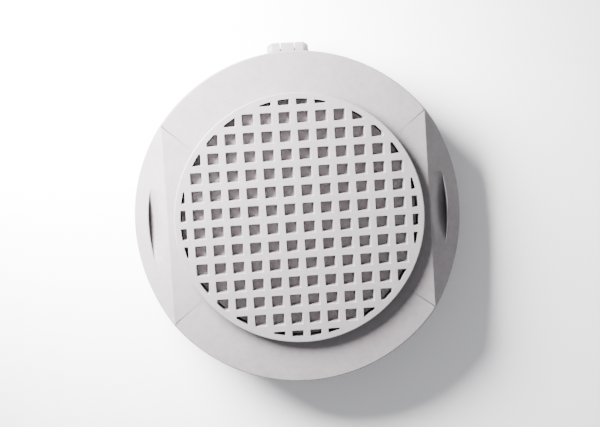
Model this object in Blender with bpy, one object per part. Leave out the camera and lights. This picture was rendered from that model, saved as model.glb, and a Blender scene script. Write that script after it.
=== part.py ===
"""Grid flower frog: a low water dish with a hinged cover and a lift-out stem grid.

Metres, +Z up. The origin is the middle of the resting face, +Y points to the hinge and the
two gripping flats of the cover face -X and +X.
"""

import math

import bmesh
import bpy
from mathutils import Matrix, Vector

MM = 0.001
GAP = 0.3 * MM
SEGMENTS = 96

# Cover
COVER_RADIUS = 50.0 * MM
COVER_TOP = 20.0 * MM
COVER_BOTTOM = 8.4 * MM
COVER_WALL = 2.2 * MM
COVER_OPENING_RADIUS = 36.9 * MM
COVER_EDGE = 0.5 * MM
FLAT_EDGE = 39.6 * MM
FLAT_DROP = 8.0 * MM
FLAT_WALL = 2.2 * MM
SCOOP_HALF_WIDTH = 12.2 * MM
SCOOP_RADIUS = 45.6 * MM
SCOOP_DEPTH = 3.2 * MM
SCOOP_RUN_OUT = 0.05 * MM
SCOOP_WALL = 1.3 * MM
SCOOP_SIDE_BLEND = 2.0
SCOOP_COLUMNS = 20
SCOOP_ROWS = 6

# Stem grid
GRID_RADIUS = 37.55 * MM
GRID_TOP = 23.4 * MM
GRID_THICKNESS = 3.4 * MM
GRID_COLLAR_OUTER = 36.6 * MM
GRID_COLLAR_INNER = 35.75 * MM
GRID_COLLAR_BOTTOM = 16.2 * MM
GRID_EDGE = 0.35 * MM
CELL_PITCH = 5.47 * MM
CELL_TOP = 3.45 * MM
CELL_BOTTOM = 2.8 * MM
CELLS_ACROSS = 14
CELL_FIELD_RADIUS = 35.7 * MM
CELL_MIN_REACH = 0.9 * MM

# Base shell
SHELL_RIM_RADIUS = 47.3 * MM
SHELL_RIM_TOP = 9.5 * MM
SHELL_WALL = 2.0 * MM
SHELL_TAPER_TOP = 8.3 * MM
SHELL_FOOT_RADIUS = 40.4 * MM
SHELL_BOTTOM = 0.6 * MM
SHELL_FLOOR_UNDER = 1.5 * MM
SHELL_FLOOR_TOP = 3.2 * MM
SHELL_INNER_FOOT_RADIUS = 40.2 * MM
BOSS_COUNT = 4
BOSS_CIRCLE_RADIUS = 42.6 * MM
BOSS_RADIUS = 2.4 * MM
BOSS_START_DEG = 45.0

# Water tank
TANK_OUTER_RADIUS = 39.6 * MM
TANK_WALL = 1.4 * MM
TANK_TOP = 17.2 * MM
TANK_FLOOR_UNDER = 5.9 * MM
TANK_FLOOR_TOP = 7.3 * MM
FLANGE_RADIUS = 44.9 * MM
FLANGE_TOP = 9.4 * MM
FLANGE_THICKNESS = 1.5 * MM

# Tank screws
SCREW_HEAD_RADIUS = 1.9 * MM
SCREW_HEAD_HEIGHT = 1.1 * MM
SCREW_SHANK_RADIUS = 0.85 * MM
SCREW_LENGTH = 3.9 * MM
SCREW_CLEARANCE = 1.2 * MM
SCREW_SLOT_WIDTH = 0.55 * MM
SCREW_SLOT_DEPTH = 0.5 * MM
SCREW_TURNS_DEG = (20.0, 75.0, 140.0, 48.0)

# Foam, ballast and pad
FOAM_RADIUS = 35.4 * MM
FOAM_THICKNESS = 11.8 * MM
FOAM_EDGE = 0.6 * MM
BALLAST_RADIUS = 38.5 * MM
BALLAST_THICKNESS = 2.1 * MM
PAD_RADIUS = 37.0 * MM
PAD_THICKNESS = 1.2 * MM
PAD_EDGE = 0.25 * MM

# Hinge
HINGE_Y = 50.4 * MM
HINGE_Z = 9.5 * MM
KNUCKLE_RADIUS = 2.6 * MM
KNUCKLE_HALF_WIDTH = 6.25 * MM
MIDDLE_KNUCKLE_HALF_WIDTH = 2.0 * MM
KNUCKLE_END_TAPER = 1.5 * MM
PIN_RADIUS = 0.8 * MM
PIN_BORE_RADIUS = 1.1 * MM
PIN_HALF_LENGTH = 5.9 * MM
NOTCH_TOP = 13.2 * MM


def clear_objects():
    for obj in list(bpy.data.objects):
        bpy.data.objects.remove(obj, do_unlink=True)


def make_material(name, color, roughness, metallic=0.0):
    mat = bpy.data.materials.new(name)
    mat.use_nodes = True
    shader = mat.node_tree.nodes["Principled BSDF"]
    shader.inputs["Base Color"].default_value = (*color, 1.0)
    shader.inputs["Roughness"].default_value = roughness
    shader.inputs["Metallic"].default_value = metallic
    return mat


def object_from_bmesh(name, bm):
    bmesh.ops.remove_doubles(bm, verts=bm.verts, dist=1e-7)
    bmesh.ops.recalc_face_normals(bm, faces=bm.faces)
    mesh = bpy.data.meshes.new(name)
    bm.to_mesh(mesh)
    bm.free()
    obj = bpy.data.objects.new(name, mesh)
    bpy.context.scene.collection.objects.link(obj)
    return obj


def revolve(name, profile, segments=SEGMENTS):
    """Turn a closed (radius, height) outline about Z; radius 0 points become poles."""
    bm = bmesh.new()
    rings = []
    for radius, height in profile:
        if radius < 1e-9:
            rings.append([bm.verts.new((0.0, 0.0, height))] * segments)
            continue
        ring = []
        for k in range(segments):
            turn = 2.0 * math.pi * k / segments
            ring.append(bm.verts.new((radius * math.cos(turn), radius * math.sin(turn), height)))
        rings.append(ring)
    for a, b in zip(rings, rings[1:] + rings[:1]):
        if a[0] is a[1] and b[0] is b[1]:
            continue
        for k in range(segments):
            n = (k + 1) % segments
            corners = []
            for vert in (a[k], a[n], b[n], b[k]):
                if vert not in corners:
                    corners.append(vert)
            bm.faces.new(corners)
    return object_from_bmesh(name, bm)


def prism(name, outline, half_width):
    """Extrude a (y, z) outline along X between -half_width and +half_width."""
    bm = bmesh.new()
    left = [bm.verts.new((-half_width, y, z)) for y, z in outline]
    right = [bm.verts.new((half_width, y, z)) for y, z in outline]
    bm.faces.new(left)
    bm.faces.new(right)
    count = len(outline)
    for k in range(count):
        n = (k + 1) % count
        bm.faces.new((left[k], left[n], right[n], right[k]))
    return object_from_bmesh(name, bm)


def box(name, low, high):
    outline = [(low[1], low[2]), (high[1], low[2]), (high[1], high[2]), (low[1], high[2])]
    obj = prism(name, outline, (high[0] - low[0]) / 2.0)
    obj.location.x = (high[0] + low[0]) / 2.0
    return obj


def rod_along_x(name, radius, x_low, x_high, y, z, segments=40):
    outline = []
    for k in range(segments):
        turn = 2.0 * math.pi * k / segments
        outline.append((radius * math.cos(turn), radius * math.sin(turn)))
    obj = prism(name, outline, (x_high - x_low) / 2.0)
    obj.location = ((x_high + x_low) / 2.0, y, z)
    return obj


def tapered_knuckle(name, inner, outer):
    """A hinge knuckle along X from its inner end to an outer end that narrows."""
    side = math.copysign(1.0, outer)
    stations = [
        (inner, KNUCKLE_RADIUS),
        (outer - side * KNUCKLE_END_TAPER, KNUCKLE_RADIUS),
        (outer, KNUCKLE_RADIUS - KNUCKLE_END_TAPER * 0.6),
    ]
    bm = bmesh.new()
    rings = []
    segments = 40
    for x, radius in stations:
        ring = []
        for k in range(segments):
            turn = 2.0 * math.pi * k / segments
            y = HINGE_Y + radius * math.cos(turn)
            z = HINGE_Z + radius * math.sin(turn)
            ring.append(bm.verts.new((x, y, z)))
        rings.append(ring)
    bm.faces.new(rings[0])
    bm.faces.new(rings[-1])
    for a, b in zip(rings, rings[1:]):
        for k in range(segments):
            n = (k + 1) % segments
            bm.faces.new((a[k], a[n], b[n], b[k]))
    return object_from_bmesh(name, bm)


def combine(target, tool, operation):
    """Boolean one solid with another and drop the tool."""
    modifier = target.modifiers.new("Boolean", "BOOLEAN")
    modifier.operation = operation
    modifier.solver = "EXACT"
    modifier.object = tool
    bpy.context.view_layer.update()
    result = bpy.data.meshes.new_from_object(
        target.evaluated_get(bpy.context.evaluated_depsgraph_get())
    )
    target.modifiers.clear()
    target.data = result
    bpy.data.objects.remove(tool, do_unlink=True)


def shade(obj, material, angle_deg=35.0):
    obj.data.materials.clear()
    obj.data.materials.append(material)
    for polygon in obj.data.polygons:
        polygon.use_smooth = True
        polygon.material_index = 0
    bm = bmesh.new()
    bm.from_mesh(obj.data)
    limit = math.radians(angle_deg)
    for edge in bm.edges:
        edge.smooth = len(edge.link_faces) == 2 and edge.calc_face_angle() < limit
    bm.to_mesh(obj.data)
    bm.free()


def flat_height(x):
    """Height of a gripping flat at a distance from the cover's middle."""
    slope = FLAT_DROP / (COVER_RADIUS - FLAT_EDGE)
    return COVER_TOP - (abs(x) - FLAT_EDGE) * slope


def cut_flat(target, side, lowering):
    """Slice away everything above one sloping flat, lowered by the wall thickness."""
    reach = 30.0 * MM
    inner = FLAT_EDGE - reach
    outer = FLAT_EDGE + reach
    bm = bmesh.new()
    half = COVER_RADIUS * 1.3
    top = COVER_TOP + reach * 2.0
    points = [
        (inner, flat_height(inner) - lowering),
        (outer, flat_height(outer) - lowering),
        (outer, top),
        (inner, top),
    ]
    near = [bm.verts.new((side * x, -half, z)) for x, z in points]
    far = [bm.verts.new((side * x, half, z)) for x, z in points]
    bm.faces.new(near)
    bm.faces.new(far)
    for k in range(4):
        n = (k + 1) % 4
        bm.faces.new((near[k], near[n], far[n], far[k]))
    combine(target, object_from_bmesh("flat_cutter", bm), "DIFFERENCE")


def scoop_floor(x, y, half_width, wall_x):
    """Height of a scoop's floor, which leaves the flat gently at the chord and at both sides."""
    across = max(0.0, 1.0 - (y / half_width) ** 2) ** SCOOP_SIDE_BLEND
    along = max(0.0, (x - FLAT_EDGE) / (wall_x - FLAT_EDGE))
    dip = math.sin(along * math.pi / 2.0) ** 2
    return flat_height(x) + SCOOP_RUN_OUT - (SCOOP_DEPTH + SCOOP_RUN_OUT) * dip * across


def cut_scoop(target, side, lowering, spread):
    """Hollow the finger scoop of one flat; it ends at an upright wall that follows the rim."""
    half_width = SCOOP_HALF_WIDTH + spread
    radius = SCOOP_RADIUS + spread
    start = FLAT_EDGE - 2.0 * MM
    top = COVER_TOP + 6.0 * MM
    bm = bmesh.new()
    floor = []
    lid = []
    for i in range(SCOOP_COLUMNS + 1):
        y = half_width * (2.0 * i / SCOOP_COLUMNS - 1.0)
        wall_x = math.sqrt(radius * radius - y * y)
        floor_row = []
        lid_row = []
        for j in range(SCOOP_ROWS + 1):
            x = start + (wall_x - start) * j / SCOOP_ROWS
            z = scoop_floor(x, y, half_width, wall_x) - lowering
            floor_row.append(bm.verts.new((side * x, y, z)))
            lid_row.append(bm.verts.new((side * x, y, top)))
        floor.append(floor_row)
        lid.append(lid_row)
    for rows in (floor, lid):
        for i in range(SCOOP_COLUMNS):
            for j in range(SCOOP_ROWS):
                quad = (rows[i][j], rows[i][j + 1], rows[i + 1][j + 1], rows[i + 1][j])
                bm.faces.new(quad)
    for i in range(SCOOP_COLUMNS):
        for j in (0, SCOOP_ROWS):
            bm.faces.new((floor[i][j], floor[i + 1][j], lid[i + 1][j], lid[i][j]))
    for j in range(SCOOP_ROWS):
        for i in (0, SCOOP_COLUMNS):
            bm.faces.new((floor[i][j], floor[i][j + 1], lid[i][j + 1], lid[i][j]))
    bmesh.ops.triangulate(bm, faces=bm.faces)
    combine(target, object_from_bmesh("scoop_cutter", bm), "DIFFERENCE")


def build_cover(material):
    edge = COVER_EDGE
    cover = revolve(
        "cover",
        [
            (0.0, COVER_TOP),
            (COVER_RADIUS - edge, COVER_TOP),
            (COVER_RADIUS, COVER_TOP - edge),
            (COVER_RADIUS, COVER_BOTTOM),
            (0.0, COVER_BOTTOM),
        ],
    )
    hollow_radius = COVER_RADIUS - COVER_WALL
    hollow = revolve(
        "cover_hollow",
        [
            (0.0, COVER_TOP - COVER_WALL + 0.2 * MM),
            (hollow_radius, COVER_TOP - COVER_WALL + 0.2 * MM),
            (hollow_radius, COVER_BOTTOM - MM),
            (0.0, COVER_BOTTOM - MM),
        ],
    )
    for side in (-1.0, 1.0):
        cut_flat(cover, side, 0.0)
        cut_flat(hollow, side, FLAT_WALL)
        cut_scoop(cover, side, 0.0, 0.0)
        cut_scoop(hollow, side, SCOOP_WALL, 1.3 * MM)
    combine(cover, hollow, "DIFFERENCE")
    opening = revolve(
        "cover_opening",
        [
            (0.0, COVER_TOP + MM),
            (COVER_OPENING_RADIUS, COVER_TOP + MM),
            (COVER_OPENING_RADIUS, COVER_TOP - 5.0 * MM),
            (0.0, COVER_TOP - 5.0 * MM),
        ],
    )
    combine(cover, opening, "DIFFERENCE")
    for side in (-1.0, 1.0):
        inner = side * (MIDDLE_KNUCKLE_HALF_WIDTH + GAP)
        knuckle = tapered_knuckle("cover_knuckle", inner, side * KNUCKLE_HALF_WIDTH)
        combine(cover, knuckle, "UNION")
    notch_half = MIDDLE_KNUCKLE_HALF_WIDTH + GAP
    notch = box(
        "hinge_notch",
        (-notch_half, COVER_RADIUS - 6.0 * MM, COVER_BOTTOM - 4.0 * MM),
        (notch_half, COVER_RADIUS + 6.0 * MM, NOTCH_TOP),
    )
    combine(cover, notch, "DIFFERENCE")
    reach = KNUCKLE_HALF_WIDTH + 2.0 * MM
    bore = rod_along_x("cover_bore", PIN_BORE_RADIUS, -reach, reach, HINGE_Y, HINGE_Z, 24)
    combine(cover, bore, "DIFFERENCE")
    shade(cover, material)
    return cover


def cell_centres():
    middle = (CELLS_ACROSS - 1) / 2.0
    for i in range(CELLS_ACROSS):
        for j in range(CELLS_ACROSS):
            x = (i - middle) * CELL_PITCH
            y = (j - middle) * CELL_PITCH
            near = math.hypot(abs(x) - CELL_TOP / 2.0, abs(y) - CELL_TOP / 2.0)
            if near < CELL_FIELD_RADIUS - CELL_MIN_REACH:
                yield x, y


def build_cell_cutter():
    """Every stem cell as a square funnel, trimmed to the round field of cells."""
    over = 0.5 * MM
    slope = (CELL_TOP - CELL_BOTTOM) / GRID_THICKNESS
    top = CELL_TOP + over * slope
    bottom = CELL_BOTTOM - over * slope
    bm = bmesh.new()
    for x, y in cell_centres():
        rings = []
        for size, z in ((bottom, GRID_TOP - GRID_THICKNESS - over), (top, GRID_TOP + over)):
            ring = []
            for sx, sy in ((-1, -1), (1, -1), (1, 1), (-1, 1)):
                ring.append(bm.verts.new((x + sx * size / 2.0, y + sy * size / 2.0, z)))
            rings.append(ring)
        bm.faces.new(rings[0][::-1])
        bm.faces.new(rings[1])
        for k in range(4):
            n = (k + 1) % 4
            bm.faces.new((rings[0][k], rings[0][n], rings[1][n], rings[1][k]))
    cells = object_from_bmesh("cell_cutter", bm)
    field = revolve(
        "cell_field",
        [
            (0.0, GRID_TOP + 2.0 * MM),
            (CELL_FIELD_RADIUS, GRID_TOP + 2.0 * MM),
            (CELL_FIELD_RADIUS, GRID_TOP - 6.0 * MM),
            (0.0, GRID_TOP - 6.0 * MM),
        ],
    )
    combine(cells, field, "INTERSECT")
    return cells


def build_stem_grid(material):
    under = GRID_TOP - GRID_THICKNESS
    seat = COVER_TOP + GAP
    grid = revolve(
        "stem_grid",
        [
            (0.0, GRID_TOP),
            (GRID_RADIUS - GRID_EDGE, GRID_TOP),
            (GRID_RADIUS, GRID_TOP - GRID_EDGE),
            (GRID_RADIUS, seat),
            (GRID_COLLAR_OUTER, seat),
            (GRID_COLLAR_OUTER, GRID_COLLAR_BOTTOM),
            (GRID_COLLAR_INNER, GRID_COLLAR_BOTTOM),
            (GRID_COLLAR_INNER, under),
            (0.0, under),
        ],
    )
    combine(grid, build_cell_cutter(), "DIFFERENCE")
    shade(grid, material)
    return grid


def boss_positions():
    for k in range(BOSS_COUNT):
        turn = math.radians(BOSS_START_DEG + 360.0 * k / BOSS_COUNT)
        yield BOSS_CIRCLE_RADIUS * math.cos(turn), BOSS_CIRCLE_RADIUS * math.sin(turn)


def upright(name, radius, low, high, x, y, segments=32):
    obj = revolve(name, [(0.0, high), (radius, high), (radius, low), (0.0, low)], segments)
    obj.location = (x, y, 0.0)
    return obj


def build_shell_envelope():
    """The space inside the middle of the shell's wall, which keeps the bosses indoors."""
    inset = SHELL_WALL / 2.0
    return revolve(
        "shell_envelope",
        [
            (0.0, SHELL_RIM_TOP),
            (SHELL_RIM_RADIUS - inset, SHELL_RIM_TOP),
            (SHELL_RIM_RADIUS - inset, SHELL_TAPER_TOP),
            (SHELL_FOOT_RADIUS - inset, SHELL_BOTTOM),
            (0.0, SHELL_BOTTOM),
        ],
    )


def build_base_shell(material):
    wall = SHELL_WALL
    shell = revolve(
        "base_shell",
        [
            (SHELL_RIM_RADIUS - wall, SHELL_RIM_TOP),
            (SHELL_RIM_RADIUS, SHELL_RIM_TOP),
            (SHELL_RIM_RADIUS, SHELL_TAPER_TOP),
            (SHELL_FOOT_RADIUS, SHELL_BOTTOM),
            (PAD_RADIUS + GAP, SHELL_BOTTOM),
            (PAD_RADIUS + GAP, SHELL_FLOOR_UNDER),
            (0.0, SHELL_FLOOR_UNDER),
            (0.0, SHELL_FLOOR_TOP),
            (SHELL_INNER_FOOT_RADIUS, SHELL_FLOOR_TOP),
            (SHELL_RIM_RADIUS - wall, SHELL_TAPER_TOP),
        ],
    )
    boss_top = FLANGE_TOP - FLANGE_THICKNESS - GAP
    for x, y in boss_positions():
        boss = upright("boss", BOSS_RADIUS, SHELL_FLOOR_TOP - MM, boss_top, x, y)
        combine(boss, build_shell_envelope(), "INTERSECT")
        combine(shell, boss, "UNION")
    arm = box(
        "hinge_arm",
        (-MIDDLE_KNUCKLE_HALF_WIDTH, SHELL_RIM_RADIUS - 1.2 * MM, HINGE_Z - KNUCKLE_RADIUS),
        (MIDDLE_KNUCKLE_HALF_WIDTH, HINGE_Y, HINGE_Z - 0.4 * MM),
    )
    combine(shell, arm, "UNION")
    half = MIDDLE_KNUCKLE_HALF_WIDTH
    knuckle = rod_along_x("shell_knuckle", KNUCKLE_RADIUS, -half, half, HINGE_Y, HINGE_Z)
    combine(shell, knuckle, "UNION")
    reach = half + 2.0 * MM
    bore = rod_along_x("shell_bore", PIN_BORE_RADIUS, -reach, reach, HINGE_Y, HINGE_Z, 24)
    combine(shell, bore, "DIFFERENCE")
    for x, y in boss_positions():
        hole = upright("boss_hole", SCREW_CLEARANCE, SHELL_FLOOR_TOP + MM, 30.0 * MM, x, y, 24)
        combine(shell, hole, "DIFFERENCE")
    shade(shell, material)
    return shell


def build_water_tank(material):
    inner = TANK_OUTER_RADIUS - TANK_WALL
    under = FLANGE_TOP - FLANGE_THICKNESS
    tank = revolve(
        "water_tank",
        [
            (inner, TANK_TOP),
            (TANK_OUTER_RADIUS, TANK_TOP),
            (TANK_OUTER_RADIUS, FLANGE_TOP),
            (FLANGE_RADIUS, FLANGE_TOP),
            (FLANGE_RADIUS, under),
            (TANK_OUTER_RADIUS, under),
            (TANK_OUTER_RADIUS, TANK_FLOOR_UNDER),
            (0.0, TANK_FLOOR_UNDER),
            (0.0, TANK_FLOOR_TOP),
            (inner, TANK_FLOOR_TOP),
        ],
    )
    for x, y in boss_positions():
        hole = upright("flange_hole", SCREW_CLEARANCE, under - MM, FLANGE_TOP + MM, x, y, 24)
        combine(tank, hole, "DIFFERENCE")
    shade(tank, material)
    return tank


def build_tank_screws(material):
    """Four slotted pan-head screws that hold the tank's flange to the shell's bosses."""
    for number, (x, y) in enumerate(boss_positions(), 1):
        screw = revolve(
            f"tank_screw_{number}",
            [
                (0.0, SCREW_HEAD_HEIGHT),
                (SCREW_HEAD_RADIUS * 0.72, SCREW_HEAD_HEIGHT),
                (SCREW_HEAD_RADIUS, SCREW_HEAD_HEIGHT * 0.55),
                (SCREW_HEAD_RADIUS, 0.0),
                (SCREW_SHANK_RADIUS, 0.0),
                (SCREW_SHANK_RADIUS, -SCREW_LENGTH),
                (0.0, -SCREW_LENGTH),
            ],
            32,
        )
        slot_half = SCREW_HEAD_RADIUS + MM
        slot = box(
            "screw_slot",
            (-slot_half, -SCREW_SLOT_WIDTH / 2.0, SCREW_HEAD_HEIGHT - SCREW_SLOT_DEPTH),
            (slot_half, SCREW_SLOT_WIDTH / 2.0, SCREW_HEAD_HEIGHT + MM),
        )
        combine(screw, slot, "DIFFERENCE")
        screw.location = (x, y, FLANGE_TOP + GAP)
        screw.rotation_euler.z = math.radians(SCREW_TURNS_DEG[number - 1])
        shade(screw, material)


def build_disc(name, radius, low, thickness, edge, material):
    high = low + thickness
    disc = revolve(
        name,
        [
            (0.0, high),
            (radius - edge, high),
            (radius, high - edge),
            (radius, low + edge),
            (radius - edge, low),
            (0.0, low),
        ],
    )
    shade(disc, material)
    return disc


def build_hinge_pin(material):
    pin = rod_along_x("hinge_pin", PIN_RADIUS, -PIN_HALF_LENGTH, PIN_HALF_LENGTH, 0.0, 0.0, 32)
    pin.location = (0.0, HINGE_Y, HINGE_Z)
    shade(pin, material)
    return pin


def hang_on_axis(obj, axis_empty):
    obj.parent = axis_empty
    obj.matrix_parent_inverse = Matrix.Translation(-axis_empty.location)


def main():
    clear_objects()
    shell_plastic = make_material("shell_plastic", (0.74, 0.73, 0.73), 0.5)
    cover_plastic = make_material("cover_plastic", (0.76, 0.75, 0.75), 0.5)
    grid_plastic = make_material("grid_plastic", (0.76, 0.75, 0.75), 0.5)
    tank_plastic = make_material("tank_plastic", (0.62, 0.60, 0.61), 0.45)
    stem_foam = make_material("stem_foam", (0.38, 0.36, 0.37), 0.95)
    pad_rubber = make_material("pad_rubber", (0.10, 0.10, 0.10), 0.9)
    ballast_steel = make_material("ballast_steel", (0.55, 0.55, 0.56), 0.4, 1.0)
    pin_steel = make_material("pin_steel", (0.66, 0.66, 0.67), 0.25, 1.0)
    screw_steel = make_material("screw_steel", (0.62, 0.62, 0.63), 0.3, 1.0)

    hinge_axis = bpy.data.objects.new("hinge_axis", None)
    hinge_axis.location = (0.0, HINGE_Y, HINGE_Z)
    bpy.context.scene.collection.objects.link(hinge_axis)

    hang_on_axis(build_cover(cover_plastic), hinge_axis)
    hang_on_axis(build_stem_grid(grid_plastic), hinge_axis)
    build_base_shell(shell_plastic)
    build_water_tank(tank_plastic)
    build_tank_screws(screw_steel)
    build_hinge_pin(pin_steel)
    foam_low = TANK_FLOOR_TOP + GAP
    build_disc("foam_block", FOAM_RADIUS, foam_low, FOAM_THICKNESS, FOAM_EDGE, stem_foam)
    ballast_low = SHELL_FLOOR_TOP + GAP
    build_disc(
        "ballast_plate", BALLAST_RADIUS, ballast_low, BALLAST_THICKNESS, 0.2 * MM, ballast_steel
    )
    build_disc("base_pad", PAD_RADIUS, 0.0, PAD_THICKNESS, PAD_EDGE, pad_rubber)


main()
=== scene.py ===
"""Looks of the grid flower frog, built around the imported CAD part."""

import math

import bmesh
import bpy
from mathutils import Matrix, Vector


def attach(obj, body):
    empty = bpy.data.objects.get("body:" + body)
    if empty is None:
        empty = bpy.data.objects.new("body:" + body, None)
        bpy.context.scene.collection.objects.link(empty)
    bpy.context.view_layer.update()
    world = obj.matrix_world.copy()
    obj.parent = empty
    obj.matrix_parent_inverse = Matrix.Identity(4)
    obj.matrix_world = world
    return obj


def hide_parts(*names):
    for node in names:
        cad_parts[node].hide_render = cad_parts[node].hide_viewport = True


MM = 0.001
ROUND = 224

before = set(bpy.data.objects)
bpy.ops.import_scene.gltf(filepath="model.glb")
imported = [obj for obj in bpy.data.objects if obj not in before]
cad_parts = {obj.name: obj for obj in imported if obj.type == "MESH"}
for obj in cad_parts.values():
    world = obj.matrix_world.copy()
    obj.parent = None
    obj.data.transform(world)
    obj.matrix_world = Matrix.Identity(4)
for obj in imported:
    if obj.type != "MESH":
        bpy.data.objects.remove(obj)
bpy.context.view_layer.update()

# The same driving sizes as the CAD part, in metres
COVER_RADIUS = 50.0 * MM
COVER_TOP = 20.0 * MM
COVER_BOTTOM = 8.4 * MM
COVER_WALL = 2.2 * MM
COVER_OPENING = 36.9 * MM
FLAT_EDGE = 39.6 * MM
FLAT_DROP = 8.0 * MM
FLAT_WALL = 2.2 * MM
SCOOP_HALF_WIDTH = 12.2 * MM
SCOOP_RADIUS = 45.6 * MM
SCOOP_DEPTH = 3.2 * MM
SCOOP_RUN_OUT = 0.05 * MM
SCOOP_SIDE_BLEND = 2.0
SCOOP_WALL = 1.3 * MM
SCOOP_LIP = 0.28 * MM
GRID_RADIUS = 37.55 * MM
GRID_TOP = 23.4 * MM
GRID_THICKNESS = 3.4 * MM
COLLAR_OUTER = 36.6 * MM
COLLAR_INNER = 35.75 * MM
COLLAR_BOTTOM = 16.2 * MM
CELL_PITCH = 5.47 * MM
CELL_TOP = 3.45 * MM
CELL_CHAMFER = 0.12 * MM
CELL_BOTTOM = 2.8 * MM
CELLS_ACROSS = 14
FIELD_RADIUS = 35.7 * MM
HINGE_Y = 50.4 * MM
HINGE_Z = 9.5 * MM
KNUCKLE_RADIUS = 2.6 * MM
KNUCKLE_HALF = 6.25 * MM
MIDDLE_HALF = 2.0 * MM
KNUCKLE_END_TAPER = 1.5 * MM
BORE_RADIUS = 1.1 * MM

# Lower shell and the bosses for the tank's screws
SHELL_RADIUS = 47.3 * MM
SHELL_RIM_TOP = 9.5 * MM
SHELL_BOTTOM = 0.6 * MM
BOSS_CIRCLE = 42.6 * MM
BOSS_HOLE_RADIUS = 1.2 * MM

# Tank, foam, pad, pin and screws
TANK_RADIUS = 39.6 * MM
TANK_TOP = 17.2 * MM
FOAM_RADIUS = 35.4 * MM
FOAM_TOP = 19.4 * MM
FOAM_BOTTOM = 7.6 * MM
PAD_RADIUS = 37.0 * MM
PAD_THICKNESS = 1.2 * MM
PIN_RADIUS = 0.8 * MM
PIN_HALF = 5.9 * MM
SCREW_SEAT = 9.45 * MM

# Stage
FLOOR_HALF = 1.4
LIGHT_PLACE = (-0.120, 0.109, 0.099)
LIGHT_TARGET = (-0.035, 0.035, 0.0)
LIGHT_SIZE = 0.142
LIGHT_POWER = 2.85
LIGHT_COLOR = (1.0, 0.985, 0.98)
LIGHT_SPREAD = math.radians(100.0)
ROOM_COLOR = (0.95, 0.96, 1.0, 1.0)
ROOM_STRENGTH = 0.62
CAMERA_LENS = 79.2
CAMERA_HEIGHT = 0.3926
CAMERA_TARGET = (0.07 * MM, 1.4 * MM, GRID_TOP)
CAMERA_TILT_X = math.radians(-2.5)
CAMERA_TILT_Y = math.radians(4.5)
CAMERA_ROLL = math.radians(-3.6)


# ---------------------------------------------------------------- materials


class Nodes:
    """A short way to write node trees."""

    def __init__(self, name):
        self.material = bpy.data.materials.new(name)
        self.material.use_nodes = True
        self.tree = self.material.node_tree
        self.shader = self.tree.nodes["Principled BSDF"]
        self.coordinates = self.tree.nodes.new("ShaderNodeTexCoord").outputs["Object"]

    def link(self, a, b):
        self.tree.links.new(a, b)

    def noise(self, scale, detail=4.0, roughness=0.55, stretch=None, distortion=0.0):
        node = self.tree.nodes.new("ShaderNodeTexNoise")
        node.inputs["Scale"].default_value = scale
        node.inputs["Detail"].default_value = detail
        node.inputs["Roughness"].default_value = roughness
        node.inputs["Distortion"].default_value = distortion
        source = self.coordinates
        if stretch:
            mapping = self.tree.nodes.new("ShaderNodeMapping")
            mapping.inputs["Scale"].default_value = stretch
            self.link(source, mapping.inputs["Vector"])
            source = mapping.outputs["Vector"]
        self.link(source, node.inputs["Vector"])
        return node.outputs["Fac"]

    def ramp(self, value, stops):
        node = self.tree.nodes.new("ShaderNodeValToRGB")
        self.link(value, node.inputs["Fac"])
        elements = node.color_ramp.elements
        while len(elements) < len(stops):
            elements.new(0.5)
        for element, (place, color) in zip(elements, stops):
            element.position = place
            element.color = (*color, 1.0)
        return node.outputs["Color"]

    def spread(self, value, low, high, start=0.3, end=0.7):
        node = self.tree.nodes.new("ShaderNodeMapRange")
        node.inputs["From Min"].default_value = start
        node.inputs["From Max"].default_value = end
        node.inputs["To Min"].default_value = low
        node.inputs["To Max"].default_value = high
        self.link(value, node.inputs["Value"])
        return node.outputs["Result"]

    def math(self, kind, a, b):
        node = self.tree.nodes.new("ShaderNodeMath")
        node.operation = kind
        for socket, value in zip(node.inputs, (a, b)):
            if isinstance(value, float):
                socket.default_value = value
            else:
                self.link(value, socket)
        return node.outputs["Value"]

    def blend(self, kind, factor, a, b):
        node = self.tree.nodes.new("ShaderNodeMix")
        node.data_type = "RGBA"
        node.blend_type = kind
        for socket, value in ((node.inputs[0], factor), (node.inputs[6], a), (node.inputs[7], b)):
            if isinstance(value, float):
                socket.default_value = value
            elif isinstance(value, tuple):
                socket.default_value = (*value, 1.0)
            else:
                self.link(value, socket)
        return node.outputs[2]

    def bump(self, height, distance, strength=1.0, after=None):
        node = self.tree.nodes.new("ShaderNodeBump")
        node.inputs["Distance"].default_value = distance
        node.inputs["Strength"].default_value = strength
        self.link(height, node.inputs["Height"])
        if after is not None:
            self.link(after, node.inputs["Normal"])
        return node.outputs["Normal"]


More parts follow.
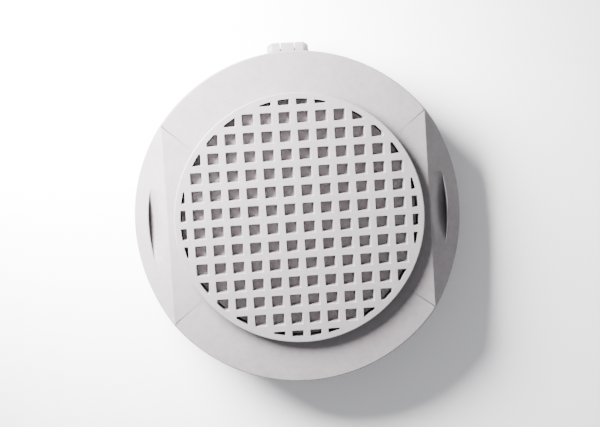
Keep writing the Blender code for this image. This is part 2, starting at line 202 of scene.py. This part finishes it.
def moulded_plastic(name, base, variation=0.10, roughness=(0.46, 0.62), grain=0.012 * MM):
    """Matt moulded plastic: spark-eroded grain, faint flow mottling, handling haze and specks."""
    n = Nodes(name)
    cloud = n.noise(140.0, 5.0, 0.6)
    flow = n.noise(45.0, 3.0, 0.5, (1.0, 2.2, 1.0), 0.6)
    low = tuple(c * (1.0 - variation) for c in base)
    high = tuple(min(1.0, c * (1.0 + variation * 0.7)) for c in base)
    color = n.ramp(cloud, [(0.3, low), (0.55, base), (0.75, high)])
    warm = (base[0] * 1.02, base[1] * 0.985, base[2] * 0.985)
    color = n.blend("MIX", n.spread(flow, 0.0, 0.5, 0.35, 0.7), color, warm)
    pebble = n.noise(620.0, 3.0, 0.6)
    color = n.blend("MULTIPLY", n.spread(pebble, 0.0, 0.22, 0.42, 0.66), color, (0.62, 0.6, 0.61))
    speck = n.noise(2600.0, 1.0, 0.4)
    speck_mask = n.spread(speck, 0.0, 0.3, 0.73, 0.8)
    color = n.blend("MULTIPLY", speck_mask, color, (0.72, 0.69, 0.66))
    n.link(color, n.shader.inputs["Base Color"])
    fine = n.noise(1500.0, 3.0, 0.6)
    haze = n.noise(260.0, 4.0, 0.65, (1.0, 0.6, 1.0))
    worn = n.math("ADD", n.math("MULTIPLY", fine, 0.4), n.math("MULTIPLY", haze, 0.6))
    n.link(n.spread(worn, roughness[0], roughness[1]), n.shader.inputs["Roughness"])
    coarse = n.bump(haze, grain * 2.0)
    n.link(n.bump(fine, grain, 1.0, coarse), n.shader.inputs["Normal"])
    n.shader.inputs["IOR"].default_value = 1.48
    return n.material


def rubber(name, base, roughness=(0.7, 0.9)):
    n = Nodes(name)
    cloud = n.noise(220.0, 5.0, 0.65)
    low = tuple(c * 0.88 for c in base)
    high = tuple(c * 1.1 for c in base)
    color = n.ramp(cloud, [(0.3, low), (0.7, high)])
    dust = n.noise(1900.0, 2.0, 0.5)
    color = n.blend("SCREEN", n.spread(dust, 0.0, 0.12, 0.66, 0.78), color, (0.8, 0.78, 0.74))
    n.link(color, n.shader.inputs["Base Color"])
    n.link(n.spread(cloud, roughness[0], roughness[1]), n.shader.inputs["Roughness"])
    skin = n.noise(1200.0, 4.0, 0.6)
    n.link(n.bump(skin, 0.03 * MM), n.shader.inputs["Normal"])
    return n.material


def foam(name, base):
    """Floral foam: fine open cells with painted shade in the pores, soft crumbs and darker wet
    patches.
    """
    n = Nodes(name)
    cloud = n.noise(180.0, 5.0, 0.65)
    low = tuple(c * 0.86 for c in base)
    high = tuple(c * 1.12 for c in base)
    color = n.ramp(cloud, [(0.3, low), (0.7, high)])
    cells = n.tree.nodes.new("ShaderNodeTexVoronoi")
    cells.inputs["Scale"].default_value = 2200.0
    n.link(n.coordinates, cells.inputs["Vector"])
    pore_depth_and_shade = cells.outputs["Distance"]
    # Painted shade: colour is multiplied darker towards each pore centre, where the same pattern
    # makes the bump dip
    color = n.blend("MULTIPLY", n.spread(pore_depth_and_shade, 0.35, 0.0, 0.1, 0.5), color, (0.55, 0.53, 0.54))
    n.link(color, n.shader.inputs["Base Color"])
    n.link(n.spread(cloud, 0.85, 1.0), n.shader.inputs["Roughness"])
    n.link(n.bump(pore_depth_and_shade, 0.12 * MM), n.shader.inputs["Normal"])
    return n.material


def steel(name, base, roughness=(0.22, 0.42), along=(1.0, 14.0, 14.0)):
    """Drawn or rolled steel with fine lines along one way and a few dull patches."""
    n = Nodes(name)
    lines = n.noise(700.0, 4.0, 0.7, along)
    patch = n.noise(160.0, 4.0, 0.6)
    low = tuple(c * 0.82 for c in base)
    color = n.ramp(patch, [(0.35, low), (0.6, base)])
    n.link(color, n.shader.inputs["Base Color"])
    mixed = n.math("ADD", n.math("MULTIPLY", lines, 0.6), n.math("MULTIPLY", patch, 0.4))
    n.link(n.spread(mixed, roughness[0], roughness[1]), n.shader.inputs["Roughness"])
    n.link(n.bump(lines, 0.006 * MM), n.shader.inputs["Normal"])
    n.shader.inputs["Metallic"].default_value = 1.0
    return n.material


def paper(name):
    n = Nodes(name)
    fibre = n.noise(900.0, 5.0, 0.7, (1.0, 2.5, 1.0))
    cloud = n.noise(9.0, 3.0, 0.5)
    color = n.ramp(cloud, [(0.3, (0.86, 0.85, 0.865)), (0.7, (0.89, 0.88, 0.895))])
    n.link(color, n.shader.inputs["Base Color"])
    n.link(n.spread(fibre, 0.85, 0.97), n.shader.inputs["Roughness"])
    n.link(n.bump(fibre, 0.012 * MM), n.shader.inputs["Normal"])
    return n.material


# ---------------------------------------------------------------- mesh tools


def from_bmesh(name, bm, material=None):
    bmesh.ops.remove_doubles(bm, verts=bm.verts, dist=1e-7)
    bmesh.ops.recalc_face_normals(bm, faces=bm.faces)
    mesh = bpy.data.meshes.new(name)
    bm.to_mesh(mesh)
    bm.free()
    obj = bpy.data.objects.new(name, mesh)
    bpy.context.scene.collection.objects.link(obj)
    if material:
        mesh.materials.append(material)
    return obj


def fillet(points, steps=5):
    """Round the corners of a closed outline; each point is (u, v) or (u, v, radius)."""
    result = []
    count = len(points)
    for k, point in enumerate(points):
        radius = point[2] if len(point) > 2 else 0.0
        here = Vector(point[:2])
        if radius <= 0.0:
            result.append(tuple(here))
            continue
        before = Vector(points[k - 1][:2]) - here
        after = Vector(points[(k + 1) % count][:2]) - here
        angle = before.angle(after)
        cut = min(radius / math.tan(angle / 2.0), before.length * 0.48, after.length * 0.48)
        radius = cut * math.tan(angle / 2.0)
        start = here + before.normalized() * cut
        end = here + after.normalized() * cut
        middle = here + (before.normalized() + after.normalized()).normalized() * (
            radius / math.sin(angle / 2.0)
        )
        a = start - middle
        b = end - middle
        sweep = a.angle(b)
        for s in range(steps + 1):
            t = s / steps
            turned = (a * math.sin((1.0 - t) * sweep) + b * math.sin(t * sweep)) / math.sin(sweep)
            result.append(tuple(middle + turned))
    return result


def revolve(name, outline, segments=None, material=None):
    segments = segments or ROUND
    bm = bmesh.new()
    rings = []
    for radius, height in outline:
        if radius < 1e-9:
            rings.append([bm.verts.new((0.0, 0.0, height))] * segments)
            continue
        ring = []
        for k in range(segments):
            turn = 2.0 * math.pi * k / segments
            ring.append(bm.verts.new((radius * math.cos(turn), radius * math.sin(turn), height)))
        rings.append(ring)
    for a, b in zip(rings, rings[1:] + rings[:1]):
        if a[0] is a[1] and b[0] is b[1]:
            continue
        for k in range(segments):
            n = (k + 1) % segments
            corners = []
            for vert in (a[k], a[n], b[n], b[k]):
                if vert not in corners:
                    corners.append(vert)
            bm.faces.new(corners)
    return from_bmesh(name, bm, material)


def prism(name, outline, low, high, axis="X"):
    """Extrude a closed outline along X (outline in Y, Z) or Z (outline in X, Y)."""
    bm = bmesh.new()
    rings = []
    for end in (low, high):
        if axis == "X":
            rings.append([bm.verts.new((end, u, v)) for u, v in outline])
        else:
            rings.append([bm.verts.new((u, v, end)) for u, v in outline])
    bm.faces.new(rings[0])
    bm.faces.new(rings[1])
    count = len(outline)
    for k in range(count):
        n = (k + 1) % count
        bm.faces.new((rings[0][k], rings[0][n], rings[1][n], rings[1][k]))
    return from_bmesh(name, bm)


def rod(name, stations, y, z, segments=48):
    """A round bar along X through (x, radius) stations."""
    bm = bmesh.new()
    rings = []
    for x, r in stations:
        ring = []
        for k in range(segments):
            turn = 2.0 * math.pi * k / segments
            ring.append(bm.verts.new((x, y + r * math.cos(turn), z + r * math.sin(turn))))
        rings.append(ring)
    bm.faces.new(rings[0])
    bm.faces.new(rings[-1])
    for a, b in zip(rings, rings[1:]):
        for k in range(segments):
            n = (k + 1) % segments
            bm.faces.new((a[k], a[n], b[n], b[k]))
    return from_bmesh(name, bm)


def combine(target, tool, operation="DIFFERENCE"):
    modifier = target.modifiers.new("Boolean", "BOOLEAN")
    modifier.operation = operation
    modifier.solver = "EXACT"
    modifier.object = tool
    bake(target)
    bpy.data.objects.remove(tool, do_unlink=True)
    return target


def bake(obj):
    bpy.context.view_layer.update()
    evaluated = obj.evaluated_get(bpy.context.evaluated_depsgraph_get())
    mesh = bpy.data.meshes.new_from_object(evaluated)
    obj.modifiers.clear()
    obj.data = mesh


def soften(obj, width, segments=2, angle=28.0):
    """Small rounds on the crisp edges that a mould leaves, and even shading."""
    bevel = obj.modifiers.new("Bevel", "BEVEL")
    bevel.width = width
    bevel.segments = segments
    bevel.limit_method = "ANGLE"
    bevel.angle_limit = math.radians(angle)
    bevel.use_clamp_overlap = False
    bevel.miter_outer = "MITER_ARC"
    bake(obj)
    smooth(obj)


def smooth(obj, angle=40.0):
    for polygon in obj.data.polygons:
        polygon.use_smooth = True
    bm = bmesh.new()
    bm.from_mesh(obj.data)
    limit = math.radians(angle)
    for edge in bm.edges:
        edge.smooth = len(edge.link_faces) == 2 and edge.calc_face_angle() < limit
    bm.to_mesh(obj.data)
    bm.free()
    weighted = obj.modifiers.new("Weighted", "WEIGHTED_NORMAL")
    weighted.keep_sharp = True
    weighted.weight = 80
    bake(obj)


def paint(obj, material):
    obj.data.materials.clear()
    obj.data.materials.append(material)
    for polygon in obj.data.polygons:
        polygon.material_index = 0


def place(obj, body, slot, *nodes):
    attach(obj, body)
    if nodes:
        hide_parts(*nodes)


# ---------------------------------------------------------------- cover


def flat_height(x):
    return COVER_TOP - (abs(x) - FLAT_EDGE) * FLAT_DROP / (COVER_RADIUS - FLAT_EDGE)


def cut_flat(target, side, lowering):
    reach = 30.0 * MM
    points = [
        (FLAT_EDGE - reach, flat_height(FLAT_EDGE - reach) - lowering),
        (FLAT_EDGE + reach, flat_height(FLAT_EDGE + reach) - lowering),
        (FLAT_EDGE + reach, COVER_TOP + reach * 2.0),
        (FLAT_EDGE - reach, COVER_TOP + reach * 2.0),
    ]
    bm = bmesh.new()
    half = COVER_RADIUS * 1.3
    near = [bm.verts.new((side * x, -half, z)) for x, z in points]
    far = [bm.verts.new((side * x, half, z)) for x, z in points]
    bm.faces.new(near)
    bm.faces.new(far)
    for k in range(4):
        n = (k + 1) % 4
        bm.faces.new((near[k], near[n], far[n], far[k]))
    combine(target, from_bmesh("flat_cutter", bm))


def scoop_column(y, half_width, radius, rows, lowering):
    """One section of a scoop cutter: the dipping floor, the upright wall, its eased lip."""
    start = FLAT_EDGE - 2.0 * MM
    wall_x = math.sqrt(radius * radius - y * y)
    across = max(0.0, 1.0 - (y / half_width) ** 2) ** SCOOP_SIDE_BLEND
    column = []
    for j in range(rows + 1):
        x = start + (wall_x - start) * j / rows
        along = max(0.0, (x - FLAT_EDGE) / (wall_x - FLAT_EDGE))
        dip = math.sin(along * math.pi / 2.0) ** 2
        depth = (SCOOP_DEPTH + SCOOP_RUN_OUT) * dip * across - SCOOP_RUN_OUT
        column.append((x, flat_height(x) - depth - lowering))
    lip = max(0.02 * MM, min(SCOOP_LIP, depth * 0.5))
    corner = max(column[-1][1] + 0.01 * MM, flat_height(wall_x) - lowering - lip)
    column.append((wall_x, corner))
    column.append((wall_x + 1.6 * lip, corner + 0.8 * lip))
    column.append((wall_x + 1.6 * lip, COVER_TOP + 6.0 * MM))
    column.append((start, COVER_TOP + 6.0 * MM))
    return column


def cut_scoop(target, side, lowering=0.0, spread=0.0):
    half_width = SCOOP_HALF_WIDTH + spread
    columns = 64
    rows = 12
    bm = bmesh.new()
    rings = []
    for i in range(columns + 1):
        y = half_width * (2.0 * i / columns - 1.0)
        column = scoop_column(y, half_width, SCOOP_RADIUS + spread, rows, lowering)
        rings.append([bm.verts.new((side * x, y, z)) for x, z in column])
    bm.faces.new(rings[0])
    bm.faces.new(rings[-1])
    count = len(rings[0])
    for low, high in zip(rings, rings[1:]):
        for k in range(count):
            n = (k + 1) % count
            bm.faces.new((low[k], low[n], high[n], high[k]))
    bmesh.ops.triangulate(bm, faces=bm.faces)
    combine(target, from_bmesh("scoop_cutter", bm))


def make_cover(material):
    edge = 0.45 * MM
    cover = revolve(
        "cover_moulding",
        fillet(
            [
                (0.0, COVER_TOP),
                (COVER_RADIUS, COVER_TOP, edge),
                (COVER_RADIUS, COVER_BOTTOM, 0.3 * MM),
                (0.0, COVER_BOTTOM),
            ]
        ),
    )
    ceiling = COVER_TOP - COVER_WALL + 0.2 * MM
    inner = COVER_RADIUS - COVER_WALL
    hollow = revolve(
        "cover_hollow",
        fillet(
            [
                (0.0, ceiling),
                (inner, ceiling, 0.8 * MM),
                (inner, COVER_BOTTOM + 0.5 * MM),
                (inner + 0.5 * MM, COVER_BOTTOM - 0.2 * MM),
                (inner + 0.5 * MM, COVER_BOTTOM - 1.0 * MM),
                (0.0, COVER_BOTTOM - 1.0 * MM),
            ]
        ),
    )
    for side in (-1.0, 1.0):
        cut_flat(cover, side, 0.0)
        cut_flat(hollow, side, FLAT_WALL)
        cut_scoop(hollow, side, SCOOP_WALL, 1.3 * MM)
    combine(cover, hollow)
    opening = revolve(
        "cover_opening",
        [
            (0.0, COVER_TOP + MM),
            (COVER_OPENING + 1.4 * MM, COVER_TOP + MM),
            (COVER_OPENING, COVER_TOP - 0.4 * MM),
            (COVER_OPENING, COVER_TOP - 5.0 * MM),
            (0.0, COVER_TOP - 5.0 * MM),
        ],
    )
    combine(cover, opening)
    for side in (-1.0, 1.0):
        stations = [
            (side * (MIDDLE_HALF + 0.3 * MM), KNUCKLE_RADIUS),
            (side * (KNUCKLE_HALF - KNUCKLE_END_TAPER), KNUCKLE_RADIUS),
            (side * KNUCKLE_HALF, KNUCKLE_RADIUS - KNUCKLE_END_TAPER * 0.6),
        ]
        knuckle = rod("knuckle", stations, HINGE_Y, HINGE_Z, 56)
        combine(cover, knuckle, "UNION")
    half = MIDDLE_HALF + 0.3 * MM
    notch = prism(
        "notch",
        [
            (COVER_RADIUS - 6.0 * MM, COVER_BOTTOM - 4.0 * MM),
            (COVER_RADIUS + 6.0 * MM, COVER_BOTTOM - 4.0 * MM),
            (COVER_RADIUS + 6.0 * MM, 13.2 * MM),
            (COVER_RADIUS - 6.0 * MM, 13.2 * MM),
        ],
        -half,
        half,
    )
    combine(cover, notch)
    reach = KNUCKLE_HALF + 2.0 * MM
    bore = [(-reach, BORE_RADIUS), (reach, BORE_RADIUS)]
    combine(cover, rod("bore", bore, HINGE_Y, HINGE_Z, 32))
    soften(cover, 0.16 * MM)
    for side in (-1.0, 1.0):
        cut_scoop(cover, side)
    smooth(cover)
    paint(cover, material)
    place(cover, "cover", "cover_plastic", "cover")
    return cover


# ---------------------------------------------------------------- stem grid


def cell_centres():
    middle = (CELLS_ACROSS - 1) / 2.0
    for i in range(CELLS_ACROSS):
        for j in range(CELLS_ACROSS):
            x = (i - middle) * CELL_PITCH
            y = (j - middle) * CELL_PITCH
            near = math.hypot(abs(x) - CELL_TOP / 2.0, abs(y) - CELL_TOP / 2.0)
            if near < FIELD_RADIUS - 0.9 * MM:
                yield x, y


def make_cell_cutter():
    over = 0.5 * MM
    slope = (CELL_TOP - CELL_BOTTOM) / GRID_THICKNESS
    corner = 0.28 * MM
    neck = CELL_TOP - CELL_CHAMFER * slope
    stations = (
        (CELL_BOTTOM - over * slope, GRID_TOP - GRID_THICKNESS - over),
        (neck, GRID_TOP - CELL_CHAMFER),
        (neck + 2.0 * (CELL_CHAMFER + over), GRID_TOP + over),
    )
    bm = bmesh.new()
    for x, y in cell_centres():
        rings = []
        for size, z in stations:
            h = size / 2.0
            square = [(-h, -h, corner), (h, -h, corner), (h, h, corner), (-h, h, corner)]
            ring = [bm.verts.new((x + u, y + v, z)) for u, v in fillet(square, 3)]
            rings.append(ring)
        bm.faces.new(rings[0][::-1])
        bm.faces.new(rings[-1])
        count = len(rings[0])
        for low, high in zip(rings, rings[1:]):
            for k in range(count):
                n = (k + 1) % count
                bm.faces.new((low[k], low[n], high[n], high[k]))
    cells = from_bmesh("cell_cutter", bm)
    field = revolve(
        "cell_field",
        [
            (0.0, GRID_TOP + 2.0 * MM),
            (FIELD_RADIUS, GRID_TOP + 2.0 * MM),
            (FIELD_RADIUS, GRID_TOP - 6.0 * MM),
            (0.0, GRID_TOP - 6.0 * MM),
        ],
    )
    return combine(cells, field, "INTERSECT")


def make_grid(material):
    under = GRID_TOP - GRID_THICKNESS
    seat = COVER_TOP + 0.06 * MM
    grid = revolve(
        "stem_grid_moulding",
        fillet(
            [
                (0.0, GRID_TOP),
                (GRID_RADIUS, GRID_TOP, 0.4 * MM),
                (GRID_RADIUS, seat, 0.12 * MM),
                (COLLAR_OUTER, seat, 0.1 * MM),
                (COLLAR_OUTER, COLLAR_BOTTOM, 0.2 * MM),
                (COLLAR_INNER, COLLAR_BOTTOM, 0.2 * MM),
                (COLLAR_INNER, under, 0.1 * MM),
                (0.0, under),
            ],
            4,
        ),
    )
    combine(grid, make_cell_cutter())
    smooth(grid, 30.0)
    paint(grid, material)
    place(grid, "grid", "grid_plastic", "stem_grid")
    return grid


# ---------------------------------------------------------------- base


def boss_positions():
    for k in range(4):
        turn = math.radians(45.0 + 90.0 * k)
        yield BOSS_CIRCLE * math.cos(turn), BOSS_CIRCLE * math.sin(turn)


def move(obj, x, y, z=0.0, turn=0.0):
    obj.data.transform(Matrix.Translation((x, y, z)) @ Matrix.Rotation(turn, 4, "Z"))
    return obj


def make_shell(material):
    shell = revolve(
        "base_shell_moulding",
        fillet(
            [
                (45.3 * MM, SHELL_RIM_TOP, 0.3 * MM),
                (SHELL_RADIUS, SHELL_RIM_TOP, 0.4 * MM),
                (SHELL_RADIUS, 8.3 * MM, 1.5 * MM),
                (40.4 * MM, SHELL_BOTTOM, 0.6 * MM),
                (37.3 * MM, SHELL_BOTTOM, 0.2 * MM),
                (37.3 * MM, 1.5 * MM),
                (0.0, 1.5 * MM),
                (0.0, 3.2 * MM),
                (40.2 * MM, 3.2 * MM, 0.8 * MM),
                (45.3 * MM, 8.3 * MM, 0.8 * MM),
            ]
        ),
    )
    envelope = [(0.0, 9.0), (46.3, 9.0), (46.3, 8.3), (39.4, 0.6), (0.0, 0.6)]
    for x, y in boss_positions():
        boss = revolve(
            "boss",
            [(0.0, 7.6 * MM), (2.4 * MM, 7.6 * MM), (2.6 * MM, 2.2 * MM), (0.0, 2.2 * MM)],
            40,
        )
        move(boss, x, y)
        inside = revolve("boss_envelope", [(r * MM, z * MM) for r, z in envelope])
        combine(boss, inside, "INTERSECT")
        combine(shell, boss, "UNION")
    arm = prism(
        "hinge_arm",
        [
            (46.1 * MM, HINGE_Z - KNUCKLE_RADIUS),
            (HINGE_Y, HINGE_Z - KNUCKLE_RADIUS),
            (HINGE_Y, HINGE_Z - 0.4 * MM),
            (46.1 * MM, HINGE_Z - 0.4 * MM),
        ],
        -MIDDLE_HALF,
        MIDDLE_HALF,
    )
    combine(shell, arm, "UNION")
    knuckle = [(-MIDDLE_HALF, KNUCKLE_RADIUS), (MIDDLE_HALF, KNUCKLE_RADIUS)]
    combine(shell, rod("knuckle", knuckle, HINGE_Y, HINGE_Z, 56), "UNION")
    bore = [(-4.0 * MM, BORE_RADIUS), (4.0 * MM, BORE_RADIUS)]
    combine(shell, rod("bore", bore, HINGE_Y, HINGE_Z, 32))
    for x, y in boss_positions():
        hole = revolve(
            "hole",
            [
                (0.0, 12.0 * MM),
                (BOSS_HOLE_RADIUS, 12.0 * MM),
                (BOSS_HOLE_RADIUS, 4.2 * MM),
                (0.0, 4.2 * MM),
            ],
            32,
        )
        combine(shell, move(hole, x, y))
    soften(shell, 0.14 * MM)
    paint(shell, material)
    place(shell, "base", "shell_plastic", "base_shell")
    return shell


def make_tank(material):
    tank = revolve(
        "water_tank_moulding",
        fillet(
            [
                (38.2 * MM, TANK_TOP, 0.6 * MM),
                (TANK_RADIUS, TANK_TOP, 0.6 * MM),
                (TANK_RADIUS, 9.4 * MM, 0.6 * MM),
                (44.9 * MM, 9.4 * MM, 0.4 * MM),
                (44.9 * MM, 7.9 * MM, 0.3 * MM),
                (TANK_RADIUS, 7.9 * MM, 0.4 * MM),
                (TANK_RADIUS, 5.9 * MM, 0.8 * MM),
                (0.0, 5.9 * MM),
                (0.0, 7.3 * MM),
                (38.2 * MM, 7.3 * MM, 0.25 * MM),
            ]
        ),
    )
    for x, y in boss_positions():
        hole = revolve(
            "hole",
            [
                (0.0, 10.0 * MM),
                (1.6 * MM, 10.0 * MM),
                (BOSS_HOLE_RADIUS, 9.1 * MM),
                (BOSS_HOLE_RADIUS, 7.0 * MM),
                (0.0, 7.0 * MM),
            ],
            32,
        )
        combine(tank, move(hole, x, y))
    soften(tank, 0.12 * MM)
    paint(tank, material)
    place(tank, "base", "tank_plastic", "water_tank")
    return tank


def make_foam(material):
    """Round block of fine open-cell floral foam with slightly rounded edges."""
    foam = revolve(
        "foam_block_cut",
        fillet(
            [
                (0.0, FOAM_TOP),
                (FOAM_RADIUS, FOAM_TOP, 0.15 * MM),
                (FOAM_RADIUS, FOAM_BOTTOM, 0.5 * MM),
                (0.0, FOAM_BOTTOM),
            ]
        ),
    )
    smooth(foam)
    paint(foam, material)
    place(foam, "base", "stem_foam", "foam_block")
    return foam


def make_pad(material):
    pad = revolve(
        "base_pad_moulding",
        fillet(
            [
                (0.0, PAD_THICKNESS),
                (PAD_RADIUS, PAD_THICKNESS, 0.2 * MM),
                (PAD_RADIUS, 0.0, 0.3 * MM),
                (34.4 * MM, 0.0, 0.15 * MM),
                (34.2 * MM, 0.35 * MM, 0.1 * MM),
                (33.2 * MM, 0.35 * MM, 0.1 * MM),
                (33.0 * MM, 0.0, 0.15 * MM),
                (0.0, 0.0),
            ],
            4,
        ),
    )
    smooth(pad)
    paint(pad, material)
    place(pad, "base", "pad_rubber", "base_pad")
    return pad


def make_pin(material):
    chamfer = 0.2 * MM
    stations = [
        (-PIN_HALF, PIN_RADIUS - chamfer),
        (chamfer - PIN_HALF, PIN_RADIUS),
        (PIN_HALF - chamfer, PIN_RADIUS),
        (PIN_HALF, PIN_RADIUS - chamfer),
    ]
    pin = rod("hinge_pin_bar", stations, HINGE_Y, HINGE_Z)
    smooth(pin, 60.0)
    paint(pin, material)
    place(pin, "base", "pin_steel", "hinge_pin")
    return pin


def make_screws(material):
    turns = (20.0, 75.0, 140.0, 48.0)
    for number, ((x, y), turn) in enumerate(zip(boss_positions(), turns), 1):
        outline = [(0.0, 1.1), (0.9, 1.07), (1.45, 0.92), (1.78, 0.62), (1.9, 0.3), (1.88, 0.04)]
        outline += [(1.8, 0.0), (0.85, 0.0)]
        depth = 0.0
        while depth < 3.3:
            outline += [(0.85, -depth - 0.1), (0.62, -depth - 0.32), (0.85, -depth - 0.54)]
            depth += 0.55
        outline += [(0.5, -3.9), (0.0, -3.9)]
        screw = revolve(
            f"tank_screw_turned_{number}", [(r * MM, z * MM) for r, z in outline], 48
        )
        slot = prism(
            "slot",
            [
                (-0.27 * MM, 0.55 * MM),
                (0.27 * MM, 0.55 * MM),
                (0.29 * MM, 2.0 * MM),
                (-0.29 * MM, 2.0 * MM),
            ],
            -3.0 * MM,
            3.0 * MM,
        )
        combine(screw, slot)
        move(screw, x, y, SCREW_SEAT, math.radians(turn))
        smooth(screw)
        paint(screw, material)
        place(screw, "base", "screw_steel", f"tank_screw_{number}")


# ---------------------------------------------------------------- stage


def make_floor(material):
    bm = bmesh.new()
    steps = 8
    verts = []
    for i in range(steps + 1):
        row = []
        for j in range(steps + 1):
            x = FLOOR_HALF * (2.0 * i / steps - 1.0)
            y = FLOOR_HALF * (2.0 * j / steps - 1.0)
            row.append(bm.verts.new((x, y, 0.0)))
        verts.append(row)
    for i in range(steps):
        for j in range(steps):
            bm.faces.new((verts[i][j], verts[i + 1][j], verts[i + 1][j + 1], verts[i][j + 1]))
    floor = from_bmesh("floor", bm, material)
    for polygon in floor.data.polygons:
        if polygon.normal.z < 0.0:
            polygon.flip()
    return floor


def aim(obj, target):
    direction = Vector(target) - obj.location
    obj.rotation_euler = direction.to_track_quat("-Z", "Y").to_euler()


def area_light(name, place, target, size, watts, color):
    light = bpy.data.lights.new(name, "AREA")
    light.shape = "ELLIPSE"
    light.size = size[0]
    light.size_y = size[1]
    light.energy = watts
    light.color = color
    obj = bpy.data.objects.new(name, light)
    bpy.context.scene.collection.objects.link(obj)
    obj.location = place
    aim(obj, target)
    return obj


def light_stage():
    size = (LIGHT_SIZE, LIGHT_SIZE)
    window = area_light("window_light", LIGHT_PLACE, LIGHT_TARGET, size, LIGHT_POWER, LIGHT_COLOR)
    window.data.spread = LIGHT_SPREAD
    world = bpy.data.worlds.new("room")
    world.use_nodes = True
    background = world.node_tree.nodes["Background"]
    background.inputs["Color"].default_value = ROOM_COLOR
    background.inputs["Strength"].default_value = ROOM_STRENGTH
    bpy.context.scene.world = world


def make_camera():
    camera = bpy.data.cameras.new("camera")
    camera.sensor_width = 36.0
    camera.lens = CAMERA_LENS
    camera.clip_start = 0.01
    obj = bpy.data.objects.new("camera", camera)
    bpy.context.scene.collection.objects.link(obj)
    target = Vector(CAMERA_TARGET)
    offset = Vector((math.tan(CAMERA_TILT_X), math.tan(CAMERA_TILT_Y), 1.0))
    obj.location = target + offset * CAMERA_HEIGHT
    direction = (target - obj.location).normalized()
    up = Vector((math.sin(-CAMERA_ROLL), math.cos(-CAMERA_ROLL), 0.0))
    right = direction.cross(up).normalized()
    up = right.cross(direction).normalized()
    matrix = Matrix((right, up, -direction)).transposed()
    obj.rotation_euler = matrix.to_euler()
    bpy.context.scene.camera = obj
    return obj


def main():
    cover_plastic = moulded_plastic("cover_plastic_look", (0.172, 0.158, 0.163))
    grid_plastic = moulded_plastic("grid_plastic_look", (0.180, 0.167, 0.172))
    shell_plastic = moulded_plastic("shell_plastic_look", (0.165, 0.152, 0.157))
    tank_plastic = moulded_plastic("tank_plastic_look", (0.150, 0.140, 0.145))
    make_cover(cover_plastic)
    make_grid(grid_plastic)
    make_shell(shell_plastic)
    make_tank(tank_plastic)
    make_foam(foam("stem_foam_look", (0.58, 0.53, 0.553)))
    make_pad(rubber("pad_rubber_look", (0.035, 0.035, 0.036)))
    make_pin(steel("pin_steel_look", (0.62, 0.62, 0.63)))
    make_screws(steel("screw_steel_look", (0.58, 0.58, 0.59)))
    ballast_look = steel("ballast_steel_look", (0.5, 0.5, 0.51), (0.35, 0.6))
    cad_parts["ballast_plate"].material_slots[0].material = ballast_look
    make_floor(paper("paper_look"))
    light_stage()
    make_camera()


main()
